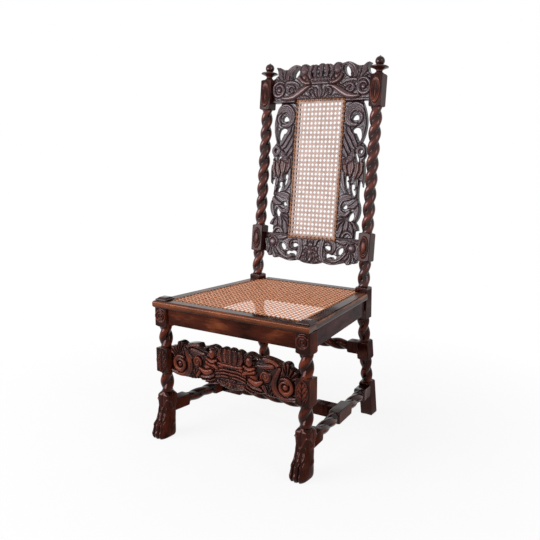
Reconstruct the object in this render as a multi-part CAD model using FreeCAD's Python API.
import FreeCAD
import Part
import math
import os
from FreeCAD import Vector

# Caned and carved side chair with barley-twist posts. Millimetres, floor at Z = 0, front towards -Y.

# Fits
fit = 0.2
peg_fit = 0.15
peg_radius = 4.0
peg_sides = 6
peg_stop = 10.0
peg_sunk = 1.5
bury = 4.0

# Front legs
front_leg_x = 258.0
front_leg_y = -242.0
front_block = 46.0
front_foot_top = 145.0
front_stretcher_block_low = 210.0
front_stretcher_block_high = 290.0
front_top_block_low = 360.0
front_pommel = 9.0
front_twist_crest = 22.0
front_twist_valley = 13.5
leg_pin_radius = 9.0

# Paw feet, measured from the leg's centre line
foot_height = 96.0
toe_reach = 57.5
heel_reach = 3.0
ankle_half_width = 17.0
paw_half_width = 22.5
toe_groove = 4.0
toe_slope = 0.35
foot_taper = 3.0

# Rear posts
rear_post_x = 211.0
rear_post_y = 204.5
rear_block = 42.0
rear_foot_y = 273.0
splay_bend_below_seat = 50.0
rear_foot_block_top = 123.5
rear_stretcher_block_low = 210.0
rear_stretcher_block_high = 274.5
seat_block_below_bend = 14.0
seat_block_above_seat = 18.0
rear_pommel = 8.0
rear_twist_crest = 20.5
rear_twist_valley = 12.0

# Leaning back
back_lean = math.radians(6.4)
lean_bend_height = 483.0
lower_back_block_low = 545.5
lower_back_block_high = 638.5
top_block_low = 1041.5
top_block_high = 1144.5

# Finials
finial_disc_radius = 29.0
finial_disc_height = 22.0
finial_ball_radius = 15.5
finial_ball_height = 41.0
finial_height = 59.0
finial_neck_radius = 11.0
finial_pin_radius = 6.5
finial_pin_length = 20.0
finial_tip_radius = 0.8
finial_flats = 12

# Barley twist
twist_lead = 98.0
twist_starts = 2
twist_rings_per_turn = 9
twist_flank = 0.72
twist_neck = 16.0
shoulder_draw = 0.3
shoulder_rise = 0.6

# Seat
seat_height = 445.0
seat_board = 23.0
seat_front_overhang = 8.0
seat_side_overhang = 3.0
seat_rear_overhang = 5.0
seat_edge_round = 8.0
front_rail_width = 47.0
side_rail_width_front = 52.0
side_rail_width_rear = 47.0
back_rail_front_setback = 15.0
back_rail_width = 42.0
rail_tenon_thickness = 11.0
rail_tenon_width = 22.0
rail_front_tenon_inset = 4.0
rail_front_tenon_width = 13.0
rail_tenon_length = 18.0
back_rail_tenon_width = 16.0
back_rail_tenon_length = 12.0
back_rail_tenon_forward = 5.0

# Corner caps
cap_width = 44.0
cap_slab = 4.0
cap_step_width = 36.0
cap_top_width = 26.0
cap_height = 9.0

# Aprons
apron_height = 50.0
apron_thickness = 22.0
apron_setback = 7.0
apron_tenon_thickness = 9.0
apron_tenon_height = 34.0
apron_tenon_length = 18.0

# Carved boards of the back: setback from the post's front face, and thickness
crest_setback = 15.0
crest_thickness = 24.0
lower_rail_setback = 22.0
lower_rail_thickness = 18.0
panel_setback = 23.0
panel_thickness = 16.0
back_tenon_thickness = 8.0
back_tenon_length = 20.0
crest_tenon_low = 1076.0
crest_tenon_high = 1118.0
lower_rail_tenon_low = 560.0
lower_rail_tenon_high = 604.0
panel_tenon_length = 14.0
panel_tenon_inner = 100.0
panel_tenon_outer = 148.0
panel_tenon_cheek = 1.5

# Cane
back_field_half_width = 82.0
back_field_low = 614.0
back_field_high = 1064.0
back_cane_columns = 11
back_cane_rows = 25
back_cane_strand = 6.0
cane_thickness = 2.4
cane_border = 13.0
binding_inset = 2.5
binding_width = 5.0
binding_thickness = 1.6
binding_sunk = 0.4
seat_cane_pitch = 38.0
seat_cane_strand = 13.0

# Front stretcher
front_stretcher_height = 265.0
front_stretcher_setback = 17.0
front_stretcher_thickness = 24.0
front_stretcher_tenon_rise = 54.0
front_stretcher_tenon_thickness = 10.0
front_stretcher_tenon_length = 20.0
front_stretcher_peg_inset = 15.0

# Turned stretchers
side_stretcher_height = 95.5
side_stretcher_block = 38.0
side_end_block = 58.0
side_middle_block = 102.0
side_middle_y = 12.0
medial_end_block = 72.0
rear_stretcher_height = 246.0
rear_stretcher_block = 40.0
rear_end_block = 38.0
stretcher_pommel = 7.0
stretcher_tenon_thickness = 12.0
stretcher_tenon_height = 24.0
stretcher_tenon_length = 18.0
stretcher_tenon_root = 12.0
stretcher_trim = 10.0

# Sizes that follow
seat_underside = seat_height - seat_board
splay_bend_height = seat_underside - splay_bend_below_seat
rear_seat_block_low = splay_bend_height - seat_block_below_bend
rear_seat_block_high = seat_height + seat_block_above_seat
splay = math.atan((rear_foot_y - rear_post_y) / splay_bend_height)
back_axis_y = rear_post_y - lean_bend_height * math.tan(back_lean)
front_half = front_block / 2
rear_half = rear_block / 2
front_leg_inner = front_leg_x - front_half
front_leg_outer = front_leg_x + front_half
front_leg_front = front_leg_y - front_half
front_leg_back = front_leg_y + front_half
rear_post_inner = rear_post_x - rear_half
rear_post_outer = rear_post_x + rear_half
rear_post_front = rear_post_y - rear_half
rear_post_back = rear_post_y + rear_half
seat_front = front_leg_front - seat_front_overhang
seat_half_front = front_leg_outer + seat_side_overhang
seat_half_rear = rear_post_outer + seat_rear_overhang
front_rail_back = seat_front + front_rail_width
back_rail_front = rear_post_front + back_rail_front_setback
apron_bottom = seat_underside - apron_height
rail_tenon_low = seat_underside + (seat_board - rail_tenon_thickness) / 2 - cane_thickness / 2
far = 3000.0

RIGHT = 1
LEFT = -1
SIDES = {"left": LEFT, "right": RIGHT}


# General shapes

def box(x0, x1, y0, y1, z0, z1):
    return Part.makeBox(x1 - x0, y1 - y0, z1 - z0, Vector(x0, y0, z0))


def mirrored(shape):
    return shape.mirror(Vector(0, 0, 0), Vector(1, 0, 0))


def on_side(shape, side):
    return shape if side == RIGHT else mirrored(shape)


def lean(shape):
    moved = shape.copy()
    moved.rotate(Vector(0, 0, 0), Vector(1, 0, 0), -math.degrees(back_lean))
    moved.translate(Vector(0, back_axis_y, 0))
    return moved


def splayed(shape):
    moved = shape.copy()
    moved.rotate(Vector(0, 0, 0), Vector(1, 0, 0), math.degrees(splay))
    moved.translate(Vector(0, rear_foot_y, 0))
    return moved


def along_back(height):
    return height / math.cos(back_lean)


def along_leg(height):
    return height / math.cos(splay)


def polygon(points):
    return Part.Wire(Part.makePolygon(points + points[:1]))


def prism(points, direction):
    return Part.Face(polygon(points)).extrude(direction)


# A solid whose wall runs through rings of equally many corners, capped at both ends
def ringed(rings, flat_panels):
    corners = len(rings[0])
    faces = [Part.Face(polygon(rings[0])), Part.Face(polygon(rings[-1]))]
    for low, high in zip(rings, rings[1:]):
        for j in range(corners):
            k = (j + 1) % corners
            if flat_panels:
                faces.append(Part.Face(polygon([low[j], low[k], high[k], high[j]])))
            else:
                faces.append(Part.Face(polygon([low[j], low[k], high[j]])))
                faces.append(Part.Face(polygon([low[k], high[k], high[j]])))
    return Part.Solid(Part.Shell(faces))


def ring(radius, z, corners, start=0.0):
    points = []
    for j in range(corners):
        angle = start + 2 * math.pi * j / corners
        points.append(Vector(radius * math.cos(angle), radius * math.sin(angle), z))
    return points


# A turned shape, from (radius, height) steps, cut in flats
def turned(profile, corners):
    return ringed([ring(radius, z, corners, math.pi / corners) for radius, z in profile], True)


# A twisted length along +Z: two bulging strands with valleys between, dying into a round neck at each end.
def twist(length, crest, valley):
    flank = valley + twist_flank * (crest - valley)
    radii = (valley, flank, crest, flank) * twist_starts
    neck = valley + twist_flank * (crest - valley)
    steps = max(3, round(length * twist_rings_per_turn / twist_lead))
    rings = []
    for i in range(steps + 1):
        z = length * i / steps
        share = min(1.0, min(z, length - z) / twist_neck)
        turn = 2 * math.pi * z / twist_lead
        round_ring = ring(1.0, z, len(radii), turn)
        points = []
        for point, radius in zip(round_ring, radii):
            reach = neck + share * (radius - neck)
            points.append(Vector(point.x * reach, point.y * reach, z))
        rings.append(points)
    return ringed(rings, False)


# A square block along +Z whose ends, where asked, are chamfered down to eight-sided shoulders.
def block(width, low, high, shoulder_low=0.0, shoulder_high=0.0):
    half = width / 2
    square = box(-half, half, -half, half, low, high)
    if not shoulder_low and not shoulder_high:
        return square
    clear = width
    steps = []
    if shoulder_low:
        steps.append((half - shoulder_low * shoulder_draw, low))
        steps.append((clear, low + shoulder_low * (clear - half) / (half * shoulder_rise)))
    else:
        steps.append((clear, low))
    if shoulder_high:
        steps.append((clear, high - shoulder_high * (clear - half) / (half * shoulder_rise)))
        steps.append((half - shoulder_high * shoulder_draw, high))
    else:
        steps.append((clear, high))
    return square.common(turned(steps, 8))


# The twist between two heights, its ends sunk into the blocks that it was turned with.
def twist_between(low, high, crest, valley):
    length = twist(high - low + 2 * bury, crest, valley)
    length.translate(Vector(0, 0, low - bury))
    return length


def joined(shapes):
    return shapes[0].multiFuse(shapes[1:]).removeSplitter()


# Outlines of the carved boards: runs of arcs, each through three points, with a corner where two runs meet

def arcs(points):
    if len(points) == 2:
        return [Part.makeLine(points[0], points[1])]
    edges = []
    for i in range(0, len(points) - 2, 2):
        edges.append(Part.Arc(points[i], points[i + 1], points[i + 2]).toShape())
    return edges


def upright(points):
    return [Vector(x, 0, z) for x, z in points]


def outline(runs):
    edges = []
    for run in runs:
        edges += arcs(upright(run))
    return Part.Wire(edges)


def ring_outline(points):
    return Part.Wire(arcs(upright(points + points[:1])))


def flipped(points):
    return [(-x, z) for x, z in points]


# Runs given for the right half, from the middle to the middle, carried on over the left half.
def both_halves(runs):
    left = []
    for run in reversed(runs):
        left.append(flipped(run)[::-1])
    return runs + left


def both_sides(holes):
    return holes + [flipped(hole) for hole in holes]


# Moves a drawn outline to its place: stretched along X to the board's length, and raised from its drawn edge.
def placed(runs, stretch, base, rise=1.0):
    return [[(x * stretch, base + z * rise) for x, z in run] for run in runs]


def pierced_board(runs, holes, front, thickness):
    cuts = [ring_outline(hole) for hole in holes]
    board = Part.Face([outline(runs)] + cuts)
    board.validate()
    solid = board.extrude(Vector(0, thickness, 0))
    solid.translate(Vector(0, front, 0))
    return solid


# Rear posts

def rear_seat_block():
    run_back = (splay_bend_height - rear_seat_block_low) * math.tan(splay)
    front = rear_post_front
    back = rear_post_back
    upright = rear_seat_block_high - rear_pommel
    profile = [
        (front, upright), (front, splay_bend_height), (front + run_back, rear_seat_block_low),
        (back + run_back, rear_seat_block_low), (back, splay_bend_height), (back, upright),
    ]
    body = prism([Vector(-rear_half, y, z) for y, z in profile], Vector(rear_block, 0, 0))
    top = block(rear_block, upright, rear_seat_block_high, 0.0, rear_pommel)
    top.translate(Vector(0, rear_post_y, 0))
    return body.fuse(top)


def rear_lower_leg():
    foot_low = -rear_block
    pieces = [
        block(rear_block, foot_low, along_leg(rear_foot_block_top), 0.0, rear_pommel),
        twist_between(along_leg(rear_foot_block_top), along_leg(rear_stretcher_block_low),
                      rear_twist_crest, rear_twist_valley),
        block(rear_block, along_leg(rear_stretcher_block_low), along_leg(rear_stretcher_block_high),
              rear_pommel, 0.0),
        twist_between(along_leg(rear_stretcher_block_high), along_leg(rear_seat_block_low),
                      rear_twist_crest, rear_twist_valley),
    ]
    leg = splayed(joined(pieces))
    return leg.cut(box(-far, far, -far, far, -far, 0))


def rear_upper_post():
    pieces = [
        twist_between(along_back(rear_seat_block_high), along_back(lower_back_block_low),
                      rear_twist_crest, rear_twist_valley),
        block(rear_block, along_back(lower_back_block_low), along_back(lower_back_block_high),
              rear_pommel, rear_pommel),
        twist_between(along_back(lower_back_block_high), along_back(top_block_low),
                      rear_twist_crest, rear_twist_valley),
        block(rear_block, along_back(top_block_low), along_back(top_block_high), rear_pommel, rear_pommel),
    ]
    pin_hole = Part.makeCylinder(finial_pin_radius + fit, finial_pin_length + fit,
                                 Vector(0, 0, along_back(top_block_high) - finial_pin_length - fit))
    return lean(joined(pieces).cut(pin_hole))


def rear_post(side):
    post = joined([rear_lower_leg(), rear_seat_block(), rear_upper_post()])
    post.translate(Vector(side * rear_post_x, 0, 0))
    return post


def finial(side):
    disc = finial_disc_radius
    low = finial_disc_height
    ball = finial_ball_radius
    middle = finial_ball_height
    neck = finial_neck_radius
    profile = [
        (finial_pin_radius, -finial_pin_length), (finial_pin_radius, 0), (neck + 4, 0), (neck, low * 0.35),
        (disc - 6, low * 0.7), (disc, low - 3), (disc, low + 3), (disc - 10, low + 7), (neck, low + 9),
        (ball * 0.8, middle - ball * 0.6), (ball, middle), (ball * 0.8, middle + ball * 0.6),
        (neck * 0.45, middle + ball * 0.9), (finial_tip_radius, finial_height),
    ]
    shape = turned(profile, finial_flats)
    shape.translate(Vector(side * rear_post_x, 0, along_back(top_block_high)))
    return lean(shape)


# Front legs

def paw_foot():
    half = front_half
    side_view = [
        (half, foot_height), (half, 58), (heel_reach + 5, 24), (heel_reach, 0), (-toe_reach + 3, 0),
        (-toe_reach, 9), (-toe_reach + 1.5, 22), (-toe_reach + 9, 34), (-half - 8, 52), (-half, foot_height),
    ]
    front_view = [
        (half, foot_height), (ankle_half_width, 62), (ankle_half_width, 48), (paw_half_width, 22),
        (paw_half_width - 2, 0),
    ]
    sawn = prism([Vector(-half, y, z) for y, z in side_view], Vector(front_block, 0, 0))
    across = front_view + [(-x, z) for x, z in reversed(front_view)]
    paw = sawn.common(prism([Vector(x, -far, z) for x, z in across], Vector(0, 2 * far, 0)))
    for between_toes in (-1, 1):
        x = between_toes * paw_half_width * 0.36
        mouth = -toe_reach - 1
        notch = [Vector(x - toe_groove, mouth, -1), Vector(x + toe_groove, mouth, -1),
                 Vector(x, mouth + 2 * toe_groove, -1)]
        paw = paw.cut(prism(notch, Vector(0, toe_slope * foot_height, foot_height)))
    return paw


def front_leg(side):
    pieces = [
        paw_foot(),
        block(front_block, foot_height, front_foot_top, 0.0, front_pommel),
        twist_between(front_foot_top, front_stretcher_block_low, front_twist_crest, front_twist_valley),
        block(front_block, front_stretcher_block_low, front_stretcher_block_high, front_pommel, 0.0),
        twist_between(front_stretcher_block_high, front_top_block_low, front_twist_crest, front_twist_valley),
        block(front_block, front_top_block_low, seat_underside, front_pommel, 0.0),
        Part.makeCylinder(leg_pin_radius, seat_board + bury, Vector(0, 0, seat_underside - bury)),
    ]
    leg = joined(pieces)
    leg.translate(Vector(side * front_leg_x, front_leg_y, 0))
    return leg


def corner_cap(side):
    corner = math.sqrt(2) / 2
    profile = [(cap_width * corner, 0), (cap_width * corner, cap_slab), (cap_step_width * corner, cap_slab),
               (cap_top_width * corner, cap_height)]
    cap = turned(profile, 4)
    cap.translate(Vector(side * front_leg_x, front_leg_y, seat_height))
    return cap


# Seat rails, with a shallow rebate round the opening for the border of the cane

def seat_outer(y):
    share = (y - seat_front) / (rear_post_front - seat_front)
    return seat_half_front + share * (seat_half_rear - seat_half_front)


def seat_inner(y):
    share = (y - front_rail_back) / (rear_post_front - front_rail_back)
    width = side_rail_width_front + share * (side_rail_width_rear - side_rail_width_front)
    return seat_outer(y) - width


def seat_plate(points, low, high):
    return prism([Vector(x, y, low) for x, y in points], Vector(0, 0, high - low))


def seat_field(margin):
    front = front_rail_back - margin
    rear = back_rail_front + margin
    return [(-seat_inner(front) - margin, front), (seat_inner(front) + margin, front),
            (seat_inner(rear) + margin, rear), (-seat_inner(rear) - margin, rear)]


def cane_rebate():
    return seat_plate(seat_field(cane_border + fit), seat_height - cane_thickness, far)


def rounded_edges(rail, wanted):
    edges = [edge for edge in rail.Edges if wanted(edge)]
    return rail.makeFillet(seat_edge_round, edges)


def seat_rail_front():
    points = [(-seat_outer(seat_front), seat_front), (seat_outer(seat_front), seat_front),
              (seat_outer(front_rail_back), front_rail_back), (-seat_outer(front_rail_back), front_rail_back)]
    rail = seat_plate(points, seat_underside, seat_height)

    def shows(edge):
        middle = edge.CenterOfMass
        flat = abs(edge.BoundBox.ZLength) < 0.01
        return flat and (middle.y < seat_front + 1 or abs(middle.x) > seat_inner(seat_front) + 1)

    rail = rounded_edges(rail, shows).cut(cane_rebate())
    for side in SIDES.values():
        pin = Part.makeCylinder(leg_pin_radius + fit, seat_board,
                                Vector(side * front_leg_x, front_leg_y, seat_underside))
        rail = rail.cut(pin).cut(on_side(side_rail_front_tenon(fit), side))
    return rail


def side_rail_front_tenon(grow):
    low = seat_inner(front_rail_back) + rail_front_tenon_inset
    return box(low - grow, low + rail_front_tenon_width + grow, front_rail_back - rail_tenon_length - grow,
               front_rail_back + bury, rail_tenon_low - grow, rail_tenon_low + rail_tenon_thickness + grow)


def side_rail_rear_tenon(grow):
    half = rail_tenon_width / 2
    return box(rear_post_x - half - grow, rear_post_x + half + grow, rear_post_front - bury,
               rear_post_front + rail_tenon_length + grow,
               rail_tenon_low - grow, rail_tenon_low + rail_tenon_thickness + grow)


def seat_rail_side():
    ends = (front_rail_back, rear_post_front)
    points = [(seat_inner(ends[0]), ends[0]), (seat_outer(ends[0]), ends[0]),
              (seat_outer(ends[1]), ends[1]), (seat_inner(ends[1]), ends[1])]
    rail = seat_plate(points, seat_underside, seat_height)

    def shows(edge):
        middle = edge.CenterOfMass
        flat = abs(edge.BoundBox.ZLength) < 0.01
        return flat and middle.x > seat_outer(middle.y) - 1

    rail = rounded_edges(rail, shows).cut(cane_rebate())
    return joined([rail, side_rail_front_tenon(0.0), side_rail_rear_tenon(0.0)])


def back_rail_tenon(grow):
    middle = back_rail_front + back_rail_width / 2 - back_rail_tenon_forward
    half = back_rail_tenon_width / 2
    return box(rear_post_inner - bury, rear_post_inner + back_rail_tenon_length + grow,
               middle - half - grow, middle + half + grow,
               rail_tenon_low - grow, rail_tenon_low + rail_tenon_thickness + grow)


def seat_rail_back():
    rail = box(-rear_post_inner, rear_post_inner, back_rail_front, back_rail_front + back_rail_width,
               seat_underside, seat_height)
    rail = rail.cut(cane_rebate())
    return joined([rail, back_rail_tenon(0.0), mirrored(back_rail_tenon(0.0))])


# Aprons

apron_tenon_low = apron_bottom + (apron_height - apron_tenon_height) / 2
front_apron_front = front_leg_front + apron_setback
front_apron_middle = front_apron_front + apron_thickness / 2
back_apron_middle = rear_post_y
side_apron_outer_front = front_leg_outer - apron_setback
side_apron_outer_rear = rear_post_outer - apron_setback


def apron_tenon_heights(grow):
    return apron_tenon_low - grow, apron_tenon_low + apron_tenon_height + grow


def front_apron_tenon(grow):
    half = apron_tenon_thickness / 2 + grow
    return box(front_leg_inner - bury, front_leg_inner + apron_tenon_length + grow,
               front_apron_middle - half, front_apron_middle + half, *apron_tenon_heights(grow))


def apron_front():
    board = box(-front_leg_inner, front_leg_inner, front_apron_front, front_apron_front + apron_thickness,
                apron_bottom, seat_underside)
    return joined([board, front_apron_tenon(0.0), mirrored(front_apron_tenon(0.0))])


def back_apron_tenon(grow):
    half = apron_tenon_thickness / 2 + grow
    return box(rear_post_inner - bury, rear_post_inner + back_rail_tenon_length + grow,
               back_apron_middle - half, back_apron_middle + half, *apron_tenon_heights(grow))


def apron_back():
    half = apron_thickness / 2
    board = box(-rear_post_inner, rear_post_inner, back_apron_middle - half, back_apron_middle + half,
                apron_bottom, seat_underside)
    return joined([board, back_apron_tenon(0.0), mirrored(back_apron_tenon(0.0))])


def side_apron_tenon(end, grow):
    half = apron_tenon_thickness / 2 + grow
    if end == "front":
        x = side_apron_outer_front - apron_thickness / 2
        return box(x - half, x + half, front_leg_back - apron_tenon_length - grow, front_leg_back + bury,
                   *apron_tenon_heights(grow))
    x = side_apron_outer_rear - apron_thickness / 2
    return box(x - half, x + half, rear_post_front - bury, rear_post_front + apron_tenon_length + grow,
               *apron_tenon_heights(grow))


def apron_side():
    points = [
        (side_apron_outer_front - apron_thickness, front_leg_back),
        (side_apron_outer_front, front_leg_back),
        (side_apron_outer_rear, rear_post_front),
        (side_apron_outer_rear - apron_thickness, rear_post_front),
    ]
    board = seat_plate(points, apron_bottom, seat_underside)
    return joined([board, side_apron_tenon("front", 0.0), side_apron_tenon("rear", 0.0)])


# Carved boards of the back, drawn upright and then leaned

crest_front = -rear_half + crest_setback
lower_rail_front = -rear_half + lower_rail_setback
panel_front = -rear_half + panel_setback
cane_front = panel_front + binding_thickness + binding_sunk
cane_back = cane_front + cane_thickness
panel_tenon_middle = panel_front + panel_thickness - back_tenon_thickness / 2 - panel_tenon_cheek
crest_tenon_middle = crest_front + crest_thickness / 2
lower_rail_tenon_middle = lower_rail_front + lower_rail_thickness / 2


# The boards are drawn from the middle of the chair and from one edge, at these drawn half lengths and heights
crest_drawn_half = 190.0
panel_drawn_height = 450.0
board_rise = 1 / math.cos(back_lean)

# Crest rail, from its straight lower edge up
crest_right = [
    [(0, 0), (190, 0)],
    [(190, 0), (190, 82)],
    [(190, 82), (181, 86), (174, 94), (172, 106), (180, 120)],
    [(180, 120), (172, 122), (161, 118), (154, 113), (146, 111)],
    [(146, 111), (132, 115), (118, 122), (99, 126), (80, 121)],
    [(80, 121), (63, 127), (44, 118)],
    [(44, 118), (29, 124), (14, 121)],
    [(14, 121), (8, 126), (0, 128)],
]
crest_holes = [
    [(108, 80), (111, 90), (98, 112), (89, 116), (85, 107), (96, 86)],
]

# Lower back rail, from its straight upper edge down
lower_rail_right = [
    [(0, 0), (190, 0)],
    [(190, 0), (190, -65)],
    [(190, -65), (183, -67), (178, -73)],
    [(178, -73), (168, -82), (157, -78)],
    [(157, -78), (145, -88), (133, -82)],
    [(133, -82), (118, -86), (100, -91), (76, -93), (50, -87)],
    [(50, -87), (27, -95), (0, -97)],
]
lower_rail_holes = [
    [(49, -36), (60, -31), (75, -33), (78, -40), (70, -45), (58, -42)],
    [(103, -54), (114, -57), (123, -49), (126, -38), (113, -35), (105, -41)],
    [(103, -67), (94, -60), (80, -61), (64, -57), (57, -62), (60, -73), (66, -78), (71, -69), (85, -68),
     (97, -73)],
]

# Side panel on the right, from its lower shoulder up
panel_right = [
    [(82, 0), (82, 450)],
    [(82, 450), (157, 450)],
    [(157, 450), (170, 420), (178, 388), (176, 351), (165, 317)],
    [(165, 317), (183, 290), (175, 261)],
    [(175, 261), (182, 219), (178, 170)],
    [(178, 170), (174, 187), (166, 190)],
    [(166, 190), (164, 161), (167, 126), (176, 90), (162, 54)],
    [(162, 54), (171, 42), (174, 28)],
    [(174, 28), (162, 25)],
    [(162, 25), (161, 0)],
    [(161, 0), (82, 0)],
]
panel_holes = [
    [(123, 390), (127, 400), (137, 406), (146, 400), (147, 390), (135, 388)],
    [(127, 357), (141, 364), (156, 358), (161, 341), (155, 317), (147, 331), (139, 346), (131, 348)],
    [(158, 286), (164, 292), (170, 286), (164, 280)],
    [(142, 280), (147, 281), (153, 268), (160, 256), (154, 247), (147, 262)],
    [(113, 204), (118, 206), (122, 189), (127, 170), (122, 160), (114, 182)],
    [(135, 176), (139, 179), (143, 162), (154, 144), (149, 136), (138, 155)],
    [(109, 100), (114, 106), (121, 111), (127, 105), (125, 98), (117, 97)],
    [(149, 88), (154, 79), (151, 64), (141, 57), (133, 62), (137, 75)],
]


def crest_place(drawn):
    return placed(drawn, rear_post_inner / crest_drawn_half, along_back(back_field_high), board_rise)


def lower_rail_place(drawn):
    return placed(drawn, rear_post_inner / crest_drawn_half, along_back(back_field_low), board_rise)


def panel_place(drawn):
    rise = board_rise * (back_field_high - back_field_low) / panel_drawn_height
    shift = back_field_half_width - panel_right[0][0][0]
    moved = placed(drawn, 1.0, along_back(back_field_low), rise)
    return [[(x + shift, z) for x, z in run] for run in moved]


def rail_tenon(low, high, middle, grow):
    half = back_tenon_thickness / 2 + grow
    return box(rear_post_inner - bury, rear_post_inner + back_tenon_length + grow,
               middle - half, middle + half, along_back(low) - grow, along_back(high) + grow)


def crest_tenon(grow):
    return rail_tenon(crest_tenon_low, crest_tenon_high, crest_tenon_middle, grow)


def lower_rail_tenon(grow):
    return rail_tenon(lower_rail_tenon_low, lower_rail_tenon_high, lower_rail_tenon_middle, grow)


def panel_tenon(end, grow):
    half = back_tenon_thickness / 2 + grow
    reach = panel_tenon_length + grow
    if end == "high":
        low = along_back(back_field_high) - bury
        high = along_back(back_field_high) + reach
    else:
        low = along_back(back_field_low) - reach
        high = along_back(back_field_low) + bury
    return box(panel_tenon_inner - grow, panel_tenon_outer + grow,
               panel_tenon_middle - half, panel_tenon_middle + half, low, high)


# The recess for the cane's border, cut from the front of the boards round the caned opening
def back_cane_recess(margin):
    return box(-back_field_half_width - margin, back_field_half_width + margin, -far, cane_back,
               along_back(back_field_low) - margin, along_back(back_field_high) + margin)


def crest_rail():
    board = pierced_board(crest_place(both_halves(crest_right)), crest_place(both_sides(crest_holes)),
                          crest_front, crest_thickness)
    board = board.cut(back_cane_recess(cane_border + fit))
    for side in SIDES.values():
        board = board.cut(on_side(panel_tenon("high", fit), side))
    return lean(joined([board, crest_tenon(0.0), mirrored(crest_tenon(0.0))]))


def lower_back_rail():
    board = pierced_board(lower_rail_place(both_halves(lower_rail_right)),
                          lower_rail_place(both_sides(lower_rail_holes)),
                          lower_rail_front, lower_rail_thickness)
    board = board.cut(back_cane_recess(cane_border + fit))
    for side in SIDES.values():
        board = board.cut(on_side(panel_tenon("low", fit), side))
    return lean(joined([board, lower_rail_tenon(0.0), mirrored(lower_rail_tenon(0.0))]))


def back_panel():
    board = pierced_board(panel_place(panel_right), panel_place(panel_holes), panel_front, panel_thickness)
    board = board.cut(back_cane_recess(cane_border + fit))
    return lean(joined([board, panel_tenon("high", 0.0), panel_tenon("low", 0.0)]))


# Cane: one sheet with square gaps, its border on the rebate, and a strip of binding cane on the border

def flat(points):
    return [Vector(x, y, 0) for x, y in points]


def rectangle(x0, x1, z0, z1):
    return [(x0, z0), (x1, z0), (x1, z1), (x0, z1)]


def back_cane():
    half = back_field_half_width
    low = along_back(back_field_low)
    high = along_back(back_field_high)
    border = rectangle(-half - cane_border, half + cane_border, low - cane_border, high + cane_border)
    wires = [polygon(upright(border))]
    wide = 2 * half / back_cane_columns
    tall = (high - low) / back_cane_rows
    strand = back_cane_strand / 2
    for column in range(back_cane_columns):
        for row in range(back_cane_rows):
            x = -half + wide * column
            z = low + tall * row
            gap = rectangle(x + strand, x + wide - strand, z + strand, z + tall - strand)
            wires.append(polygon(upright(gap)))
    sheet = Part.Face(wires)
    sheet.validate()
    solid = sheet.extrude(Vector(0, cane_thickness, 0))
    solid.translate(Vector(0, cane_front, 0))
    return lean(solid)


def back_cane_binding():
    half = back_field_half_width + binding_inset
    low = along_back(back_field_low) - binding_inset
    high = along_back(back_field_high) + binding_inset
    inner = polygon(upright(rectangle(-half, half, low, high)))
    wide = binding_width
    outer = polygon(upright(rectangle(-half - wide, half + wide, low - wide, high + wide)))
    strip = Part.Face([outer, inner])
    strip.validate()
    solid = strip.extrude(Vector(0, binding_thickness, 0))
    solid.translate(Vector(0, cane_front - binding_thickness, 0))
    return lean(solid)


def seat_cane():
    wires = [polygon(flat(seat_field(cane_border)))]
    rows = int((back_rail_front - front_rail_back) / seat_cane_pitch)
    tall = (back_rail_front - front_rail_back) / rows
    strand = seat_cane_strand / 2
    for row in range(rows):
        y = front_rail_back + tall * row
        columns = int(2 * seat_inner(y + tall) / seat_cane_pitch)
        for column in range(columns):
            x = (column - columns / 2) * seat_cane_pitch
            gap = rectangle(x + strand, x + seat_cane_pitch - strand, y + strand, y + tall - strand)
            wires.append(polygon(flat(gap)))
    sheet = Part.Face(wires)
    sheet.validate()
    solid = sheet.extrude(Vector(0, 0, cane_thickness))
    solid.translate(Vector(0, 0, seat_height - cane_thickness))
    for side in SIDES.values():
        solid = solid.cut(on_side(box(rear_post_inner - fit, far, rear_post_front - fit, far, 0, far), side))
    return solid


def seat_cane_binding():
    inner = polygon(flat(seat_field(binding_inset)))
    outer = polygon(flat(seat_field(binding_inset + binding_width)))
    strip = Part.Face([outer, inner])
    strip.validate()
    solid = strip.extrude(Vector(0, 0, binding_thickness))
    solid.translate(Vector(0, 0, seat_height))
    for side in SIDES.values():
        solid = solid.cut(on_side(box(rear_post_inner - fit, far, rear_post_front - fit, far, 0, far), side))
    return solid


# Stretchers

front_stretcher_front = front_leg_front + front_stretcher_setback
front_stretcher_middle = front_stretcher_front + front_stretcher_thickness / 2
front_stretcher_tenon_middle = (front_stretcher_block_low + front_stretcher_block_high) / 2
front_stretcher_tenon_low = front_stretcher_tenon_middle - front_stretcher_tenon_rise / 2
front_stretcher_tenon_high = front_stretcher_tenon_middle + front_stretcher_tenon_rise / 2
side_run_back = rear_foot_y - side_stretcher_height * math.tan(splay)
side_turn = math.atan((front_leg_x - rear_post_x) / (side_run_back - front_leg_y))
rear_stretcher_y = rear_foot_y - rear_stretcher_height * math.tan(splay)


# Drawn from the middle of the chair, with heights from the stretcher's own middle
front_stretcher_drawn_half = 235.0
front_stretcher_right = [
    [(0, -65), (28, -62), (50, -54)],
    [(50, -54), (82, -59), (118, -51)],
    [(118, -51), (142, -56), (170, -58), (205, -58), (235, -54)],
    [(235, -54), (235, 34)],
    [(235, 34), (221, 37), (209, 42)],
    [(209, 42), (207, 50), (197, 56), (186, 55), (176, 50)],
    [(176, 50), (150, 57), (117, 60)],
    [(117, 60), (112, 51)],
    [(112, 51), (97, 54), (81, 60), (62, 62), (45, 54)],
    [(45, 54), (28, 62), (14, 58)],
    [(14, 58), (8, 62), (0, 63)],
]
front_stretcher_holes = [
    [(97, 40), (89, 39), (81, 40), (79, 47), (84, 53), (92, 48)],
]


def front_stretcher_place(drawn):
    return placed(drawn, front_leg_inner / front_stretcher_drawn_half, front_stretcher_height)


def front_stretcher_tenon(grow):
    half = front_stretcher_tenon_thickness / 2 + grow
    return box(front_leg_inner - bury, front_leg_inner + front_stretcher_tenon_length + grow,
               front_stretcher_middle - half, front_stretcher_middle + half,
               front_stretcher_tenon_low - grow, front_stretcher_tenon_high + grow)


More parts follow.
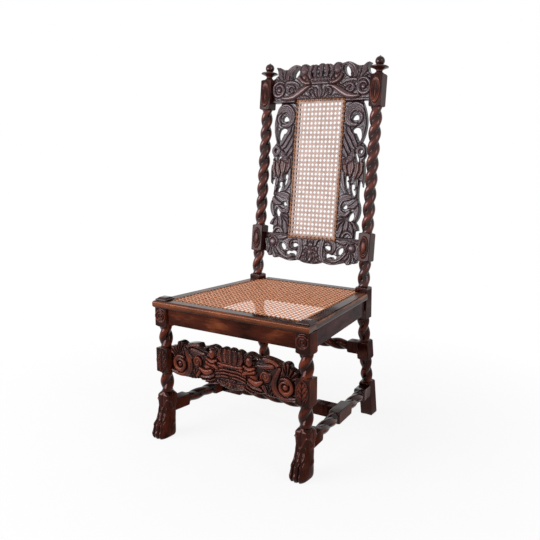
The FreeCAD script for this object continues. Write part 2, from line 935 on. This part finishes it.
def front_stretcher():
    board = pierced_board(front_stretcher_place(both_halves(front_stretcher_right)),
                          front_stretcher_place(both_sides(front_stretcher_holes)),
                          front_stretcher_front, front_stretcher_thickness)
    return joined([board, front_stretcher_tenon(0.0), mirrored(front_stretcher_tenon(0.0))])


# A turned stretcher along +Z, made of square blocks at the given stretches and twists between them
def turned_bar(width, stretches):
    crest = width / 2 - 0.5
    valley = crest * 0.6
    pieces = []
    for index, (low, high) in enumerate(stretches):
        low_pommel = stretcher_pommel if index > 0 else 0.0
        high_pommel = stretcher_pommel if index < len(stretches) - 1 else 0.0
        pieces.append(block(width, low, high, low_pommel, high_pommel))
    for before, after in zip(stretches, stretches[1:]):
        pieces.append(twist_between(before[1], after[0], crest, valley))
    return joined(pieces)


def stretcher_tenon_box(low, high, grow):
    half_thick = stretcher_tenon_thickness / 2 + grow
    half_tall = stretcher_tenon_height / 2 + grow
    return box(-half_thick, half_thick, -half_tall, half_tall, low, high)


# From upright to lying along the line from the front leg to the rear foot, on the right-hand side
def laid_along_side(shape):
    moved = shape.copy()
    moved.rotate(Vector(0, 0, 0), Vector(1, 0, 0), -90)
    moved.rotate(Vector(0, 0, 0), Vector(0, 0, 1), math.degrees(side_turn))
    moved.translate(Vector(front_leg_x, front_leg_y, side_stretcher_height))
    return moved


def side_distance(y):
    return (y - front_leg_y) / math.cos(side_turn)


side_start = side_distance(front_leg_back)
side_end = side_distance(side_run_back - rear_half / math.cos(splay))
side_middle = side_distance(side_middle_y)


def side_front_tenon(grow):
    low = side_start - stretcher_tenon_length - grow
    return laid_along_side(stretcher_tenon_box(low, side_start + stretcher_tenon_root, grow))


def side_rear_tenon(grow):
    high = side_end + stretcher_tenon_length + grow
    return laid_along_side(stretcher_tenon_box(side_end - stretcher_tenon_root, high, grow))


def behind_rear_foot():
    return splayed(box(-far, far, -rear_half, far, -far, far))


def side_stretcher(side):
    half_middle = side_middle_block / 2
    stretches = [(side_start - stretcher_trim, side_start + side_end_block),
                 (side_middle - half_middle, side_middle + half_middle),
                 (side_end - side_end_block, side_end + stretcher_trim)]
    bar = turned_bar(side_stretcher_block, stretches)
    if side == LEFT:
        bar = mirrored(bar)
    bar = laid_along_side(bar)
    bar = bar.cut(box(-far, far, -far, front_leg_back, -far, far)).cut(behind_rear_foot())
    bar = joined([bar, side_front_tenon(0.0), side_rear_tenon(0.0)])
    return on_side(bar.cut(medial_tenon(fit)), side)


# The medial stretcher meets the inner faces of the side stretchers' middle blocks, which are turned a little
def beyond_middle_block_face():
    half = side_stretcher_block / 2
    return laid_along_side(box(-half, far, -far, far, -far, far))


medial_x = front_leg_x - side_middle * math.sin(side_turn) - side_stretcher_block / 2 / math.cos(side_turn)


def lying_across(shape, y, z):
    moved = shape.copy()
    moved.rotate(Vector(0, 0, 0), Vector(0, 1, 0), 90)
    moved.translate(Vector(0, y, z))
    return moved


def medial_tenon(grow):
    peg = stretcher_tenon_box(medial_x - stretcher_tenon_root, medial_x + stretcher_tenon_length + grow, grow)
    peg.rotate(Vector(0, 0, 0), Vector(0, 0, 1), 90)
    return lying_across(peg, side_middle_y, side_stretcher_height)


def medial_stretcher():
    reach = medial_x + stretcher_trim
    stretches = [(-reach, -medial_x + medial_end_block), (medial_x - medial_end_block, reach)]
    bar = lying_across(turned_bar(side_stretcher_block, stretches), side_middle_y, side_stretcher_height)
    beyond = beyond_middle_block_face()
    bar = bar.cut(beyond).cut(mirrored(beyond))
    return joined([bar, medial_tenon(0.0), mirrored(medial_tenon(0.0))])


def rear_stretcher_tenon(grow):
    peg = stretcher_tenon_box(rear_post_inner - stretcher_tenon_root,
                              rear_post_inner + stretcher_tenon_length + grow, grow)
    peg.rotate(Vector(0, 0, 0), Vector(0, 0, 1), 90)
    return lying_across(peg, rear_stretcher_y, rear_stretcher_height)


def rear_stretcher():
    end = rear_post_inner
    stretches = [(-end, -end + rear_end_block), (end - rear_end_block, end)]
    bar = lying_across(turned_bar(rear_stretcher_block, stretches), rear_stretcher_y, rear_stretcher_height)
    return joined([bar, rear_stretcher_tenon(0.0), mirrored(rear_stretcher_tenon(0.0))])


# Draw-bore pegs, each from a start point on a hidden face, along a direction, for the right-hand side

def back_peg_places():
    back = rear_half
    x = rear_post_inner + back_tenon_length / 2
    places = []
    for low, high in ((crest_tenon_low, crest_tenon_high), (lower_rail_tenon_low, lower_rail_tenon_high)):
        for share in (0.28, 0.72):
            z = along_back(low + share * (high - low))
            places.append((Vector(x, back, z), Vector(0, -1, 0), rear_block - peg_stop))
    return places


def apron_peg_places():
    low = apron_tenon_low + apron_tenon_height * 0.3
    high = apron_tenon_low + apron_tenon_height * 0.7
    half = apron_tenon_length / 2
    return [
        (Vector(front_leg_inner + half, front_leg_back, low), Vector(0, -1, 0), front_block - peg_stop),
        (Vector(front_leg_inner, front_leg_back - half, high), Vector(1, 0, 0), front_block - peg_stop),
        (Vector(rear_post_inner, rear_post_front + half, high), Vector(1, 0, 0), rear_block - peg_stop),
        (Vector(rear_post_inner + back_rail_tenon_length / 2, rear_post_back, low), Vector(0, -1, 0),
         rear_block - peg_stop),
    ]


def stretcher_peg_places():
    half = stretcher_tenon_length / 2
    board_low = front_stretcher_tenon_low + front_stretcher_peg_inset
    board_high = front_stretcher_tenon_high - front_stretcher_peg_inset
    x = front_leg_inner + front_stretcher_tenon_length / 2
    rear_face = rear_stretcher_y + rear_half / math.cos(splay)
    foot_front = side_run_back - rear_half / math.cos(splay)
    return [
        (Vector(x, front_leg_back, board_low), Vector(0, -1, 0), front_block - peg_stop),
        (Vector(x, front_leg_back, board_high), Vector(0, -1, 0), front_block - peg_stop),
        (Vector(front_leg_inner + foot_taper, front_leg_back - half, side_stretcher_height), Vector(1, 0, 0),
         front_block - foot_taper - peg_stop),
        (Vector(rear_post_inner, foot_front + half, side_stretcher_height), Vector(1, 0, 0),
         rear_block - peg_stop),
        (Vector(rear_post_inner + half, rear_face - peg_sunk, rear_stretcher_height), Vector(0, -1, 0),
         rear_block - peg_stop),
        (Vector(medial_x + half, side_middle_y, side_stretcher_height - side_stretcher_block / 2),
         Vector(0, 0, 1), side_stretcher_block - peg_stop),
    ]


def across_directions(direction):
    if abs(direction.z) > 0.5:
        return Vector(1, 0, 0), Vector(0, 1, 0)
    return Vector(0, 0, 1), direction.cross(Vector(0, 0, 1))


def peg(start, direction, length, radius=peg_radius):
    u, v = across_directions(direction)
    corners = [start + u * point.x + v * point.y for point in ring(radius, 0, peg_sides)]
    return prism(corners, direction * length)


def peg_hole(start, direction, length):
    outside = start - direction * bury
    return peg(outside, direction, length + peg_fit + bury, peg_radius + peg_fit)


def peg_set(places, place):
    pegs = []
    holes = []
    for start, direction, length in places:
        pegs += [place(peg(start, direction, length))]
        holes += [place(peg_hole(start, direction, length))]
    pegs += [mirrored(one) for one in pegs]
    holes += [mirrored(one) for one in holes]
    return Part.makeCompound(pegs), holes


def in_place(shape):
    return shape


# Mortises of the right-hand members

def rear_post_mortises():
    return [lean(crest_tenon(fit)), lean(lower_rail_tenon(fit)), side_rail_rear_tenon(fit),
            back_rail_tenon(fit), side_apron_tenon("rear", fit), back_apron_tenon(fit),
            rear_stretcher_tenon(fit), side_rear_tenon(fit)]


def front_leg_mortises():
    return [front_apron_tenon(fit), side_apron_tenon("front", fit), front_stretcher_tenon(fit),
            side_front_tenon(fit)]


def with_cuts(shape, tools):
    near = [tool for tool in tools if tool.BoundBox.intersect(shape.BoundBox)]
    return shape.cut(near) if near else shape


# The whole chair

def build():
    nodes = {}
    for name, side in SIDES.items():
        post_tools = [on_side(tool, side) for tool in rear_post_mortises()]
        leg_tools = [on_side(tool, side) for tool in front_leg_mortises()]
        nodes["rear_post_" + name] = with_cuts(rear_post(side), post_tools)
        nodes["front_leg_" + name] = with_cuts(front_leg(side), leg_tools)
        nodes["finial_" + name] = finial(side)
        nodes["corner_cap_" + name] = corner_cap(side)
        nodes["back_panel_" + name] = on_side(back_panel(), side)
        nodes["seat_rail_" + name] = on_side(seat_rail_side(), side)
        nodes["apron_" + name] = on_side(apron_side(), side)
        nodes["side_stretcher_" + name] = side_stretcher(side)
    nodes["crest_rail"] = crest_rail()
    nodes["lower_back_rail"] = lower_back_rail()
    nodes["seat_rail_front"] = seat_rail_front()
    nodes["seat_rail_back"] = seat_rail_back()
    nodes["apron_front"] = apron_front()
    nodes["apron_back"] = apron_back()
    nodes["front_stretcher"] = front_stretcher()
    nodes["medial_stretcher"] = medial_stretcher()
    nodes["rear_stretcher"] = rear_stretcher()
    peg_sets = {
        "back_pegs": peg_set(back_peg_places(), lean),
        "apron_pegs": peg_set(apron_peg_places(), in_place),
        "stretcher_pegs": peg_set(stretcher_peg_places(), in_place),
    }
    for pegs, holes in peg_sets.values():
        for name in nodes:
            nodes[name] = with_cuts(nodes[name], holes)
    for name, (pegs, holes) in peg_sets.items():
        nodes[name] = pegs
    nodes["back_cane"] = back_cane()
    nodes["back_cane_binding"] = back_cane_binding()
    nodes["seat_cane"] = seat_cane()
    nodes["seat_cane_binding"] = seat_cane_binding()
    return nodes


# The depth of the chair runs from the toes to the back of the finial discs; its middle is put at Y = 0.
def depth_middle():
    toes = front_leg_y - toe_reach
    disc_height = along_back(top_block_high) + finial_disc_height
    disc_back = back_axis_y + disc_height * math.sin(back_lean) + finial_disc_radius * math.cos(back_lean)
    return (toes + disc_back) / 2


os.makedirs("parts", exist_ok=True)
for node, shape in build().items():
    shape.translate(Vector(0, -depth_middle(), 0))
    shape.exportStep("parts/" + node + ".step")
